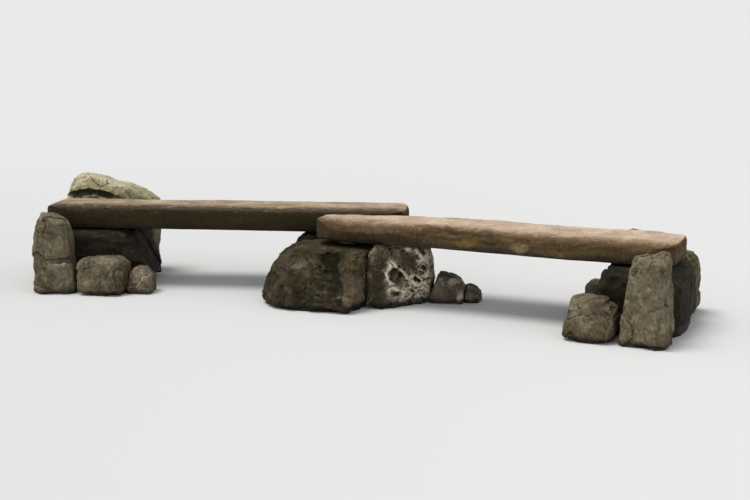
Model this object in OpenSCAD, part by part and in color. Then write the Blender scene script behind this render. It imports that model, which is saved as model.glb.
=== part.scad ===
// Stone slab bridge: two long undressed slabs that meet side by side on a pier of boulders,
// each with its far end on a boulder abutment.
// +X runs along the bridge, +Y away from the side it is seen from, +Z is up.
// The origin is the middle of the pier, at the level of the water.

/* [Deck] */
// Height of the walking surface above the water
deck_height = 1370; // [1200:10:1700]
// Rise of the left slab's top over the right slab's
left_step = 20; // [0:5:40]
// Angle in plan between the two slabs
bend = 18.4; // [12:0.2:24]
// Open joint between the slabs where they lie side by side
slab_joint = 40; // [20:5:80]

/* [Left slab] */
// Length of the left slab
left_length = 6250; // [5600:10:7000]
// Width of the left slab
left_width = 1190; // [1050:10:1300]
// Thickness of the left slab
left_thickness = 370; // [300:5:440]
// How much wider the left slab is at the pier than at the bank
left_flare = 110; // [0:10:180]
// Radius of its long edges, which are nearly square
left_edge = 60; // [40:5:120]
// How far its natural long edges wander from a straight line
left_wander = 26; // [0:2:50]
// Length of the left slab past the middle of the pier
left_past_pier = 840; // [650:10:1000]
// Sideways distance of its centre line from the middle of the pier
left_aside = 784; // [720:4:850]

/* [Right slab] */
// Length of the right slab
right_length = 5900; // [5300:10:6600]
// Width of the right slab
right_width = 1340; // [1200:10:1480]
// How much wider the right slab is at the bank than at the pier
right_flare = 120; // [0:10:180]
// Thickness of the right slab
right_thickness = 345; // [280:5:400]
// Radius of its long edges, which are worn round
right_edge = 130; // [90:5:150]
// How far its natural long edges wander from a straight line
right_wander = 40; // [0:2:60]
// Depth of the bedding groove along its sides
groove_depth = 22; // [0:2:40]
// Length of the right slab past the middle of the pier
right_past_pier = 375; // [250:5:550]
// Sideways distance of its centre line from the middle of the pier
right_aside = 88; // [40:4:140]

/* [Packing stones] */
// Height of the packing stones between a slab and its boulder
packing_height = 30; // [15:5:60]
// Length of a packing stone
packing_length = 380; // [240:10:460]
// Width of a packing stone
packing_width = 260; // [180:10:320]

/* [Pier] */
// Length of the main boulder along the bridge
main_length = 1940; // [1750:10:2150]
// Width of the main boulder across the bridge
main_width = 1570; // [1400:10:1750]
// Distance from the middle of the pier to the joint behind the main boulder
main_back = 150; // [80:10:220]
// Distance from the middle of the pier to the joint with the pitted boulder
main_right = 740; // [650:10:850]
// Length of the back boulder along the bridge
back_length = 1900; // [1700:10:2200]
// Width of the back boulder across the bridge
back_width = 1250; // [1100:10:1400]
// Length of the pitted boulder along the bridge
pitted_length = 710; // [600:10:850]
// Width of the pitted boulder across the bridge
pitted_width = 1500; // [1200:10:1700]
// Height of the large foot stone
large_foot_height = 480; // [300:10:550]
// Length of the large foot stone
large_foot_length = 540; // [400:10:640]
// Width of the large foot stone
large_foot_width = 560; // [400:10:700]
// Height of the small foot stone
small_foot_height = 270; // [180:10:350]
// Length of the small foot stone
small_foot_length = 300; // [200:10:400]
// Width of the small foot stone
small_foot_width = 360; // [260:10:450]

/* [Abutments] */
// Length of the boulder under the left slab's end
left_bearing_length = 1900; // [1600:10:2300]
// Length of the boulder under the right slab's end
right_bearing_length = 1450; // [1200:10:1800]
// Clear gap between a slab and the flank stones in front of it
front_gap = 110; // [60:5:160]
// Clear gap between a slab and the stones behind it
back_gap = 25; // [10:5:60]
// Width of the bank stones
bank_width = 620; // [500:10:760]
// Height of the bank stones in front of the slabs
front_bank_height = 620; // [500:10:750]
// Height of the bank stones behind the slabs
back_bank_height = 1040; // [900:10:1150]
// Rise of the left bank's back flank stone over the walking surface
left_flank_rise = 530; // [250:10:650]
// Rise of the right bank's back flank stone over the walking surface
right_flank_rise = 100; // [60:10:300]
// Rise of the front flank stones over the walking surface
front_flank_rise = 120; // [60:10:300]
// Angle by which the abutments' faces lean back from the water
water_lean = 24; // [10:1:32]
// Height of the stones at the foot of the abutments
bank_foot_height = 440; // [300:10:520]
// Width of the stones at the foot of the abutments
bank_foot_width = 420; // [320:10:520]

/* [Quality] */
// Points around a stone
around = 28; // [20:2:32]
// Rings of points up a stone
rings = 12; // [9:1:14]
// Stations along a slab
stations = 34; // [24:2:44]

/* [Hidden] */

// Levels
left_top = deck_height + left_step;
left_under = left_top - left_thickness;
right_under = deck_height - right_thickness;
left_seat = left_under - packing_height;
right_seat = right_under - packing_height;

// Bearings of the two slabs, each turned by half of the bend
left_turn = bend / 2;
right_turn = -bend / 2;

// How far a stone's rough block runs past the joints, so that each joint cuts a flat face on it
bite = 1.2;

// Colours of the stones
slab_tan = "#b39a7a";
slab_brown = "#8d7450";
boulder_brown = "#5d5342";
pitted_cream = "#a39578";
packing_brown = "#4d4436";
bank_grey = "#6f7260";

function total(list) = concat([0], list) * [for (item = concat([0], list)) 1];

// Unit vector at a bearing in plan, from +X towards +Y, and a rise above level
function heading(bearing, rise = 0) =
    [cos(bearing) * cos(rise), sin(bearing) * cos(rise), sin(rise)];

// A point from its distance along and across a slab, in the part's frame
function left_point(along, across, z = 0) =
    [0, left_aside, z] + along * heading(left_turn) + across * heading(left_turn + 90);
function right_point(along, across, z = 0) =
    [0, -right_aside, z] + along * heading(right_turn) + across * heading(right_turn + 90);

// Half width of each slab at a place along it
function left_half(along) = left_width / 2 + left_flare * (0.25 + 0.5 * along / left_length);
function right_half(along) = right_width / 2 + right_flare * (0.5 * along / right_length - 0.25);

// Ends of the slabs, as distances along them from the middle of the pier
left_near = left_past_pier;
left_far = left_past_pier - left_length;
right_near = -right_past_pier;
right_far = right_length - right_past_pier;

// Flat joint through a point: the stone lies behind it, and its normal points out of the stone
function joint(point, normal) = [normal, normal * point];
function far_side(face) = [-face[0], -face[1]];
function top_at(z) = joint([0, 0, z], [0, 0, 1]);
function base_at(z) = joint([0, 0, z], [0, 0, -1]);

// Distance from a point along u to a joint
function reach(point, u, face) =
    u * face[0] > 0.001 ? (face[1] - face[0] * point) / (u * face[0]) : 1e6;

// Flat chips struck off a block by chance, each as its normal and its distance from the middle
function chips(half, turn, count, depth, seed) =
    let (r = rands(0, 1, 3 * count, seed))
    [for (i = [0 : count - 1])
        let (
            n = heading(360 * (i + r[3 * i]) / count, 80 * r[3 * i + 1] - 15),
            l = [abs(n * heading(turn)), abs(n * heading(turn + 90)), abs(n.z)]
        )
        [n, (l * half) * (1 - depth * (0.3 + r[3 * i + 2]))]
    ];

// Smooth unevenness of a stone, from -1 to 1, as four crossed waves
function unevenness(u, waves) =
    total([for (i = [0 : 3])
        sin(150 * (i + 1) * (u * heading(waves[3 * i], waves[3 * i + 1] / 2 - 90)) + waves[3 * i + 2])
    ]) / 4;

// Distance from the middle of a block to its outside, with rounded edges between its faces
function block_reach(u, half, turn, cuts, squareness) =
    let (l = [abs(u * heading(turn)) / half.x, abs(u * heading(turn + 90)) / half.y, abs(u.z) / half.z])
    pow(
        total([for (part = l) pow(part, squareness)])
            + total([for (cut = cuts) pow(max(0, u * cut[0]) / cut[1], squareness)]),
        -1 / squareness
    );

// Depth of the hollows weathered into a stone, each as [bearing, rise, depth, spread]
function hollow_depth(u, hollows) =
    total([for (hollow = hollows)
        hollow[2] * exp(-pow(acos(min(1, u * heading(hollow[0], hollow[1]))) / hollow[3], 2))
    ]);

// Closed skin over rings of points, drawn together at a tip past each end
module skin(rows, first_tip, last_tip) {
    n = len(rows[0]);
    last = (len(rows) - 1) * n;
    points = concat([for (row = rows) each row], [first_tip, last_tip]);
    sides = [for (i = [0 : len(rows) - 2], j = [0 : n - 1])
        let (a = i * n + j, b = i * n + (j + 1) % n)
        each [[a, a + n, b], [b, a + n, b + n]]
    ];
    ends = [for (j = [0 : n - 1])
        let (k = (j + 1) % n)
        each [[last + n, j, k], [last + n + 1, last + k, last + j]]
    ];
    polyhedron(points, concat(sides, ends), convexity = 6);
}

// Undressed stone: a chipped block with rounded edges, cut flat where it beds on its neighbours.
// faces are its own large natural faces, each as its normal and its distance from the middle.
module stone(middle, half, seed, joints, turn = 0, faces = [], hollows = [], lumps = 0.03,
             squareness = 13, chip_count = 15, chip_depth = 0.24, n = around, m = rings) {
    waves = rands(0, 360, 12, seed);
    soft_joints = [for (face = joints) if (face[0].z > -0.5) [face[0], (face[1] - face[0] * middle) * 1.05]];
    cuts = concat(faces, soft_joints, chips(half, turn, chip_count, chip_depth, seed + 1));
    function skin_point(v) =
        let (
            u = v / norm(v),
            free = block_reach(u, half, turn, cuts, squareness) * (1 + lumps * unevenness(u, waves))
                - hollow_depth(u, hollows)
        )
        middle + u * min(concat([free], [for (face = joints) reach(middle, u, face)]));
    function aim(bearing, rise) =
        half.x * cos(bearing) * cos(rise) * heading(turn)
            + half.y * sin(bearing) * cos(rise) * heading(turn + 90) + [0, 0, half.z * sin(rise)];
    skin(
        [for (i = [0 : m - 1])
            [for (j = [0 : n - 1]) skin_point(aim(360 * j / n, 136 * i / (m - 1) - 68))]
        ],
        skin_point([0, 0, -1]),
        skin_point([0, 0, 1])
    );
}

// Distance that a slab's side draws in near its end, where its corner is rounded
function corner_inset(from_end, corner) =
    from_end >= corner ? 0 : corner * (1 - sqrt(1 - pow(1 - from_end / corner, 2)));

// Wandering line of a natural edge, from the share of the slab's length
function wander(share, seed) =
    (sin(700 * share + 40 * seed) + 0.6 * sin(1500 * share + 70 * seed)
        + 0.35 * sin(3300 * share + 90 * seed)) / 1.95;

// Profile of a slab's side, from its underside up: [how far it stands back, height as a share]
function side_profile(edge, groove, groove_at, steps = 9) =
    [for (i = [0 : steps])
        let (
            t = 180 * i / steps - 90,
            height = (1 + sign(t) * pow(abs(sin(t)), 0.75)) / 2
        )
        [edge * (1 - pow(max(0, cos(t)), 0.75)) + groove * exp(-pow((height - groove_at) / 0.1, 2)), height]
    ];

// Outline of a slab across its length: flat top and underside between two natural sides
function slab_ring(front, back, under, top, edge, groove, groove_at) =
    let (
        back_side = side_profile(edge, groove * 0.6, 1 - groove_at),
        front_side = side_profile(edge, groove, groove_at),
        last = len(back_side) - 1
    )
    concat(
        [for (p = back_side) [back - p[0], under + (top - under) * p[1]]],
        [for (i = [last : -1 : 0]) [front + front_side[i][0], under + (top - under) * front_side[i][1]]]
    );

// Share of a slab's length at each station, closer together towards its ends
function station(i) =
    let (t = 180 * i / (stations - 1))
    0.5 - 0.5 * cos(t) * (0.7 + 0.3 * pow(cos(t), 2));

module left_slab() {
    corner = left_width * 0.2;
    nose = left_edge * 0.4;
    function ring_at(share) =
        let (
            along = left_far + nose + (left_length - 2 * nose) * share,
            inset = corner_inset(min(along - left_far, left_near - along), corner),
            front = -left_half(along) + left_wander / 2 * wander(share, 1) + 0.5 * inset,
            back = left_half(along) + left_wander * wander(share, 2) - inset
        )
        [for (p = slab_ring(front, back, left_under, left_top, left_edge, 0, 0.5))
            left_point(along, p[0], p[1])
        ];
    color(slab_tan)
        skin(
            [for (i = [0 : stations - 1]) ring_at(station(i))],
            left_point(left_far, 0, (left_under + left_top) / 2),
            left_point(left_near, 0, (left_under + left_top) / 2)
        );
}

// Front side of the left slab, and the right slab's back edge, which is cut away beside it
left_side_turn = atan(left_flare / 2 / left_length);
left_front_line = joint(left_point(0, -left_half(0) - left_wander / 2 - slab_joint),
    heading(left_turn - left_side_turn + 90));
function right_back_edge(along, share) =
    min(
        right_half(along) + right_wander * wander(share, 3),
        reach(right_point(along, 0), heading(right_turn + 90), left_front_line)
    );

module right_slab() {
    corner = right_width * 0.22;
    nose = right_edge * 0.4;
    function ring_at(share) =
        let (
            along = right_near + nose + (right_length - 2 * nose) * share,
            inset = corner_inset(min(along - right_near, right_far - along), corner),
            front = -right_half(along) + right_wander * wander(share, 4) + inset,
            back = right_back_edge(along, share) - 0.6 * inset
        )
        [for (p = slab_ring(front, back, right_under, deck_height, right_edge, groove_depth,
                0.56 + 0.08 * wander(share, 5)))
            right_point(along, p[0], p[1])
        ];
    color(slab_brown)
        skin(
            [for (i = [0 : stations - 1]) ring_at(station(i))],
            right_point(right_near, -right_width / 8, (right_under + deck_height) / 2),
            right_point(right_far, 0, (right_under + deck_height) / 2)
        );
}

// Joints between the stones of the pier
main_back_joint = joint([0, main_back, 0], heading(90));
main_right_joint = joint([main_right, 0, 0], heading(-12, -4));
pitted_right_joint = joint([main_right + pitted_length, 0, 0], heading(4, -16));
foot_joint = joint([main_right + pitted_length + large_foot_length, 0, 0], heading(14, -10));

module pier_main_boulder() {
    color(boulder_brown)
        stone(
            middle = [main_right - main_length / 2, main_back - main_width / 2, right_seat / 2],
            half = [main_length / 2 * bite, main_width / 2 * bite, right_seat * 0.8],
            seed = 12,
            joints = [base_at(0), top_at(right_seat), main_back_joint, main_right_joint],
            faces = [
                [heading(197, 15), main_length * 0.45],
                [heading(192, 46), main_length * 0.37],
                [heading(-94, 8), main_width * 0.49],
                [heading(-80, 38), main_width * 0.47],
                [heading(-140, 24), main_length * 0.38]
            ],
            hollows = [[-68, -8, main_width * 0.07, 11], [-64, 22, main_width * 0.06, 13]],
            squareness = 12, chip_count = 12, chip_depth = 0.2, n = 44, m = 15
        );
}

module pier_back_boulder() {
    color(boulder_brown)
        stone(
            middle = [main_right - back_length * 0.5, main_back + back_width / 2, left_seat / 2],
            half = [back_length / 2, back_width / 2 * bite, left_seat * 0.8],
            seed = 24,
            joints = [base_at(0), top_at(left_seat), far_side(main_back_joint), main_right_joint],
            faces = [
                [heading(90, 16), back_width * 0.47],
                [heading(24, 18), back_length * 0.45],
                [heading(165, 20), back_length * 0.44]
            ]
        );
}

module pier_pitted_boulder() {
    color(pitted_cream)
        stone(
            middle = [main_right + pitted_length * 0.42, -pitted_width * 0.17, right_under / 2],
            half = [pitted_length * 0.68, pitted_width / 2, right_under * 0.8],
            seed = 33,
            joints = [base_at(0), top_at(right_under), far_side(main_right_joint), pitted_right_joint],
            faces = [[heading(-42, -2), pitted_length * 0.54], [heading(40, 20), pitted_width * 0.36]],
            hollows = [
                [-38, 26, pitted_length * 0.12, 17],
                [-62, -6, pitted_length * 0.09, 13],
                [-30, 4, pitted_length * 0.08, 13]
            ],
            squareness = 12, chip_count = 10, chip_depth = 0.18, n = 44, m = 16
        );
}

module pier_foot_stone_large() {
    color(boulder_brown)
        stone(
            middle = [main_right + pitted_length + large_foot_length * 0.46, -large_foot_width * 0.1,
                large_foot_height * 0.3],
            half = [large_foot_length * 0.62, large_foot_width / 2, large_foot_height * 0.74],
            seed = 42,
            joints = [base_at(0), far_side(pitted_right_joint), foot_joint],
            faces = [
                [heading(-168, 17), large_foot_length * 0.44],
                [heading(8, 45), large_foot_length * 0.62],
                [heading(-74, 16), large_foot_width * 0.42],
                [heading(20, 76), large_foot_height * 0.68]
            ],
            chip_count = 6, chip_depth = 0.14, n = 26, m = 12
        );
}

module pier_foot_stone_small() {
    color(boulder_brown)
        stone(
            middle = [main_right + pitted_length + large_foot_length + small_foot_length * 0.45,
                small_foot_width * 0.15, small_foot_height * 0.3],
            half = [small_foot_length * 0.6, small_foot_width / 2, small_foot_height * 0.72],
            seed = 48,
            joints = [base_at(0), far_side(foot_joint)],
            faces = [[heading(-4, 5), small_foot_length * 0.46], [heading(12, 52), small_foot_length * 0.58]],
            chip_count = 5, chip_depth = 0.14, n = 22, m = 10
        );
}

// Packing stone that levels a slab on its boulder
module packing_stone(place, top, seed, turn) {
    base = top - packing_height;
    color(packing_brown)
        stone(
            middle = [place.x, place.y, (base + top) / 2],
            half = [packing_length / 2, packing_width / 2, packing_height],
            seed = seed,
            turn = turn,
            joints = [base_at(base), top_at(top)],
            chip_count = 6, n = 14, m = 5
        );
}

module left_slab_packing_front() {
    packing_stone(left_point(left_past_pier * 0.1, -left_width * 0.3), left_under, 53, left_turn);
}

module left_slab_packing_back() {
    packing_stone(left_point(left_past_pier * 0.1, left_width * 0.26), left_under, 57, left_turn);
}

module right_slab_packing_front() {
    packing_stone(right_point(right_past_pier * 0.7, -right_width * 0.34), right_under, 61, right_turn);
}

module right_slab_packing_back() {
    packing_stone(right_point(right_past_pier * 0.5, right_width * 0.05), right_under, 67, right_turn);
}

// A point over an abutment: its share of the bearing boulder's length, from the slab's far end
function left_bank(share, across = 0, z = 0) = left_point(left_far + left_bearing_length * share, across, z);
function right_bank(share, across = 0, z = 0) =
    right_point(right_far - right_bearing_length * share, across, z);

// Joints of the left abutment, against the stones in front and behind
left_end_half = left_half(left_far + left_bearing_length);
left_front_joint =
    joint(left_point(0, -left_end_half - left_wander / 2 - front_gap), heading(left_turn - 90));
left_back_joint = joint(left_point(0, left_end_half + left_wander + back_gap), heading(left_turn + 90));

// Joints of the right abutment
right_end_half = right_half(right_far);
right_front_joint =
    joint(right_point(0, -right_end_half - right_wander - front_gap), heading(right_turn - 90));
right_back_joint = joint(right_point(0, right_end_half + right_wander + back_gap), heading(right_turn + 90));

// Boulder that carries a slab's end, with a face that leans back from the water
module bearing_boulder(foot, top, length, seed, turn, water_bearing, joints) {
    middle = foot + [0, 0, top / 2];
    half_width = max([for (face = joints) face[1] - face[0] * middle]);
    color(boulder_brown)
        stone(
            middle = middle,
            half = [length / 2 * bite, half_width * bite, top * 0.8],
            seed = seed,
            turn = turn,
            joints = concat([base_at(0), top_at(top)], joints),
            faces = [
                [heading(water_bearing, water_lean),
                    length / 2 * cos(water_lean) - top / 2 * sin(water_lean)],
                [heading(water_bearing + 8, 4), length * 0.44]
            ],
            chip_count = 9, chip_depth = 0.18, n = 32, m = 12
        );
}

module left_bearing_boulder() {
    bearing_boulder(left_bank(0.5), left_seat, left_bearing_length, 72, left_turn, left_turn,
        [left_front_joint, left_back_joint]);
}

module right_bearing_boulder() {
    bearing_boulder(right_bank(0.5), right_seat, right_bearing_length, 108, right_turn, right_turn + 180,
        [right_front_joint, right_back_joint]);
}

module left_bearing_packing_front() {
    packing_stone(left_bank(0.6, -left_width * 0.27), left_under, 73, left_turn);
}

module left_bearing_packing_back() {
    packing_stone(left_bank(0.55, left_width * 0.27), left_under, 79, left_turn);
}

module right_bearing_packing_front() {
    packing_stone(right_bank(0.6, -right_width * 0.27), right_under, 109, right_turn);
}

module right_bearing_packing_back() {
    packing_stone(right_bank(0.55, right_width * 0.25), right_under, 113, right_turn);
}

// The point of an upright joint that is nearest to a place
function on_face(face, place) = place + face[0] * (face[1] - face[0] * place);

// A level direction, raised by an angle
function raised(level, rise) = level * cos(rise) + [0, 0, sin(rise)];

// Bank stone beside a bearing boulder, with a back that leans over it
module bank_stone(place, length, height, seed, turn, face) {
    out = face[0];
    color(bank_grey)
        stone(
            middle = [place.x, place.y, height / 2] - out * bank_width / 2,
            half = [length / 2, bank_width / 2 * bite, height * 0.8],
            seed = seed,
            turn = turn,
            joints = [base_at(0), top_at(height), face],
            faces = [[raised(-out, 22), bank_width * 0.46]],
            n = 24, m = 10
        );
}

module left_bank_stone_front() {
    bank_stone(on_face(left_front_joint, left_bank(0.625)), left_bearing_length * 0.44,
        front_bank_height, 84, left_turn, far_side(left_front_joint));
}

module left_bank_stone_back() {
    bank_stone(on_face(left_back_joint, left_bank(0.41)), left_bearing_length * 0.96,
        back_bank_height, 89, left_turn, far_side(left_back_joint));
}

module right_bank_stone_front() {
    bank_stone(on_face(right_front_joint, right_bank(0.74)), right_bearing_length * 0.52,
        front_bank_height, 127, right_turn, far_side(right_front_joint));
}

module right_bank_stone_back() {
    bank_stone(on_face(right_back_joint, right_bank(0.14)), right_bearing_length * 0.42,
        back_bank_height, 131, right_turn, far_side(right_back_joint));
}

// Tall flank stone on the ground or on a bank stone, which marks the end of the deck
module flank_stone(place, length, width, base, rise, seed, turn, face, faces) {
    height = deck_height + rise - base;
    color(bank_grey)
        stone(
            middle = [place.x, place.y, base + height * 0.35] - face[0] * width / 2,
            half = [length / 2, width / 2 * bite, height * 0.66],
            seed = seed,
            turn = turn,
            joints = [base_at(base), face],
            faces = faces,
            chip_count = 13, chip_depth = 0.2, n = 24, m = 11
        );
}

module left_flank_stone_front() {
    length = left_bearing_length * 0.4;
    flank_stone(on_face(left_front_joint, left_bank(0.19)), length, bank_width, 0, front_flank_rise, 98,
        left_turn, far_side(left_front_joint), [
            [heading(left_turn - 84, 7), bank_width * 0.43],
            [heading(left_turn + 4, 8), length * 0.44],
            [heading(left_turn + 186, 3), length * 0.47],
            [heading(left_turn + 30, 70), (deck_height + front_flank_rise) * 0.49]
        ]);
}

module left_flank_stone_back() {
    length = left_bearing_length * 1.02;
    flank_stone(on_face(left_back_joint, left_bank(0.4)), length,
        bank_width * 0.8, back_bank_height, left_flank_rise, 101, left_turn, far_side(left_back_joint),
        [[heading(left_turn, 73), length * 0.17], [heading(left_turn + 180, 40), length * 0.37]]);
}

module right_flank_stone_front() {
    length = right_bearing_length * 0.52;
    flank_stone(on_face(right_front_joint, right_bank(0.2)), length, bank_width, 0, front_flank_rise, 137,
        right_turn, far_side(right_front_joint), [
            [heading(right_turn - 98, 6), bank_width * 0.43],
            [heading(right_turn - 176, 8), length * 0.44],
            [heading(right_turn - 5, 4), length * 0.47],
            [heading(right_turn - 150, 72), (deck_height + front_flank_rise) * 0.49]
        ]);
}

module right_flank_stone_back() {
    length = right_bearing_length * 0.53;
    flank_stone(on_face(right_back_joint, right_bank(0.6)), length, bank_width, 0, right_flank_rise, 139,
        right_turn, far_side(right_back_joint), [
            [heading(right_turn + 95, 10), bank_width * 0.43],
            [heading(right_turn + 182, 8), length * 0.45],
            [heading(right_turn - 6, 5), length * 0.46],
            [heading(right_turn + 60, 74), (deck_height + right_flank_rise) * 0.49]
        ]);
}

// Low stone at the foot of an abutment, at the edge of the water
module bank_foot_stone(place, length, seed, turn, face) {
    color(boulder_brown)
        stone(
            middle = [place.x, place.y, bank_foot_height * 0.3] - face[0] * bank_foot_width / 2,
            half = [length / 2, bank_foot_width / 2 * bite, bank_foot_height * 0.72],
            seed = seed,
            turn = turn,
            joints = [base_at(0), face],
            chip_count = 9, chip_depth = 0.22, n = 22, m = 9
        );
}

module left_bank_foot_stone() {
    bank_foot_stone(on_face(left_front_joint, left_bank(0.955)), left_bearing_length * 0.22, 104,
        left_turn, far_side(left_front_joint));
}

module right_bank_foot_stone() {
    bank_foot_stone(on_face(right_back_joint, right_bank(1)), right_bearing_length * 0.3, 149,
        right_turn, far_side(right_back_joint));
}

left_slab();
right_slab();
pier_main_boulder();
pier_back_boulder();
pier_pitted_boulder();
pier_foot_stone_large();
pier_foot_stone_small();
left_slab_packing_front();
left_slab_packing_back();
right_slab_packing_front();
right_slab_packing_back();
left_bearing_boulder();
left_bearing_packing_front();
left_bearing_packing_back();
left_bank_stone_front();
left_bank_stone_back();
left_flank_stone_front();
left_flank_stone_back();
left_bank_foot_stone();
right_bearing_boulder();
right_bearing_packing_front();
right_bearing_packing_back();
right_bank_stone_front();
right_bank_stone_back();
right_flank_stone_front();
right_flank_stone_back();
right_bank_foot_stone();
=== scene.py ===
import math

import bmesh
import bpy
import numpy as np
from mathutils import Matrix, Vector


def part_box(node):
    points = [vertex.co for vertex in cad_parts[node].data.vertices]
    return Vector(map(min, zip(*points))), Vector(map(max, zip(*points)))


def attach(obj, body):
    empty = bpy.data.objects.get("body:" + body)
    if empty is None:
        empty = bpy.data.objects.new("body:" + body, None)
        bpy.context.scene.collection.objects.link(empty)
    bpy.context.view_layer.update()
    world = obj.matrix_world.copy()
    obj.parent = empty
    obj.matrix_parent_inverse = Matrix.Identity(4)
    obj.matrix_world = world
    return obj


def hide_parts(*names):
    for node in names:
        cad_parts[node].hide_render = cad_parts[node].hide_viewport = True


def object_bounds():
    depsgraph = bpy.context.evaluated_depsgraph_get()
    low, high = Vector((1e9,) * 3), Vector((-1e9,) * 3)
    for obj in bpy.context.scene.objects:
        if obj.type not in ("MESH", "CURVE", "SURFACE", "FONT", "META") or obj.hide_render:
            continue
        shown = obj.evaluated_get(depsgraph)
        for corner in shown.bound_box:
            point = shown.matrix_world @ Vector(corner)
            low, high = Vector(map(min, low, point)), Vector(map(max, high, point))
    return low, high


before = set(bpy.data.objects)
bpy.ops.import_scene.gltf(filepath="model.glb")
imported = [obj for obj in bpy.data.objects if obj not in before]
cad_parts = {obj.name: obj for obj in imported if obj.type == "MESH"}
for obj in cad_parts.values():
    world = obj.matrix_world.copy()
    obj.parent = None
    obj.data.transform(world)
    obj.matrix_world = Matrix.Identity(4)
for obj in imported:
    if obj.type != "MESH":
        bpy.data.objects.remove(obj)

CAD_BOX = [list(corner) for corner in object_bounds()]

# Left slab: one huge undressed slab of dense tan stone, split along its bedding and laid level as a deck.
# Its top is worn pale, its front margin and its sides are painted dark, partly as stain and partly as
# painted shade, and its arrises are chipped.
# It lies loose on packing stones on the pier and on the left abutment.


def solid_copy(node):
    """A new closed piece with the mesh of a node's own solid, named after the node."""
    same_place = 0.0002
    name = node.replace("stone_", "").removesuffix("_stone") + "_stone"
    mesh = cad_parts[node].data.copy()
    mesh.name = name
    form = bmesh.new()
    form.from_mesh(mesh)
    bmesh.ops.remove_doubles(form, verts=form.verts, dist=same_place)
    form.to_mesh(mesh)
    form.free()
    mesh.materials.clear()
    piece = bpy.data.objects.new(name, mesh)
    bpy.context.scene.collection.objects.link(piece)
    return piece


def settle_modifiers(piece):
    """Turns a piece's modifiers into plain mesh."""
    graph = bpy.context.evaluated_depsgraph_get()
    made = bpy.data.meshes.new_from_object(piece.evaluated_get(graph))
    rough, piece.data = piece.data, made
    piece.modifiers.clear()
    bpy.data.meshes.remove(rough)
    piece.data.name = piece.name


def wear_round(piece, rounds):
    """Wears a stone's hard creases round."""
    worn = piece.modifiers.new("worn", "SMOOTH")
    worn.factor = 0.5
    worn.iterations = rounds
    settle_modifiers(piece)


def even_mesh(piece, grain, rounds):
    """Lays an even mesh over a stone and wears it round."""
    even = piece.modifiers.new("even", "REMESH")
    even.mode = "VOXEL"
    even.voxel_size = grain
    wear_round(piece, rounds)


def points_of(piece):
    """The places of a piece's mesh points, one a row."""
    points = np.empty(len(piece.data.vertices) * 3)
    piece.data.vertices.foreach_get("co", points)
    return points.reshape(-1, 3)


def set_points(piece, points):
    """Moves a piece's mesh points to new places."""
    piece.data.vertices.foreach_set("co", points.ravel())
    piece.data.update()


def note(piece, label, values):
    """Notes a value at each point of a piece, for the nodes to read."""
    piece.data.attributes.new(label, "FLOAT", "POINT").data.foreach_set("value", values)


def press(points, first, last, radius):
    """Takes stone away along a round bar from first to last, by pushing the skin out of the bar."""
    shortest = 1e-9
    first, last = np.asarray(first, float), np.asarray(last, float)
    line = last - first
    share = np.clip((points - first) @ line / max(line @ line, shortest), 0, 1)
    middle = first + share[:, None] * line
    away = points - middle
    far = np.linalg.norm(away, axis=1)
    inside = far < radius
    points[inside] = middle[inside] + away[inside] * (radius / far[inside])[:, None]
    return points


def strike_flakes(points, places, faces, chance, depth, radius):
    """Knocks a curved flake out at each place."""
    for place, face in zip(places, faces):
        ball = chance.uniform(*radius)
        middle = place + face * (ball - chance.uniform(*depth))
        points = press(points, middle, middle, ball)
    return points


def wave(reach, chance, lengths=(2.3, 1.1, 0.55, 0.27)):
    """Wandering of a natural line, from -1 to 1, by waves of these lengths in metres."""
    turn = 6.283
    waves = [size * np.sin(turn * reach / size + chance.uniform(0, turn)) for size in lengths]
    return sum(waves) / sum(lengths)


def side_of(points, along, side):
    """Distance along a slab, how far each point lies in from its edge on one side, and the way inwards."""
    stations, window = 60, 0.1
    outward = np.array([-along[1], along[0], 0.0]) * side
    reach, out = points @ along, points @ outward
    spots = np.linspace(reach.min(), reach.max(), stations)
    edge = [out[np.abs(reach - spot) < window].max() for spot in spots]
    return reach, np.interp(reach, spots, edge) - out, -outward


def wear_nose(points, along, side, upper, lower, chance):
    """Wears a slab's side round: upper and lower give how far in the wear reaches over and under it."""
    upper_power, lower_power, wander = 2.2, 3.2, 0.25
    reach, inset, inward = side_of(points, along, side)
    low, high = points[:, 2].min(), points[:, 2].max()
    middle, half = (low + high) / 2, (high - low) / 2
    for sign, width, power in ((1, upper, upper_power), (-1, lower, lower_power)):
        width = width * (1 + wander * wave(reach, chance))
        u = np.clip(1 - inset / width, 0, None)
        v = (points[:, 2] - middle) / half * sign
        over = np.power(u, power) + np.power(np.clip(v, 0, None), power)
        shrink = np.where((v > 0) & (over > 1), np.power(np.maximum(over, 1), -1 / power), 1.0)
        points += np.outer((u - u * shrink) * width, inward)
        points[:, 2] = middle + sign * half * np.where(v > 0, v * shrink, v)
    return points


def edge_places(points, along, side, level, chance, count):
    """Places along a long arris of a slab, found on its own skin, with their outward directions."""
    window, rises, skew = 0.06, (30, 62), 0.35
    across = np.array([-along[1], along[0], 0.0]) * side
    reach = points @ along
    places, faces = [], []
    for spot in np.sort(chance.uniform(reach.min(), reach.max(), count)):
        near = points[np.abs(reach - spot) < window]
        rise = math.radians(chance.uniform(*rises)) * level
        face = across * math.cos(rise) + np.array([0, 0, math.sin(rise)])
        face = face + along * chance.uniform(-skew, skew)
        face /= np.linalg.norm(face)
        places.append(near[np.argmax(near @ face)])
        faces.append(face)
    return places, faces


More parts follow.
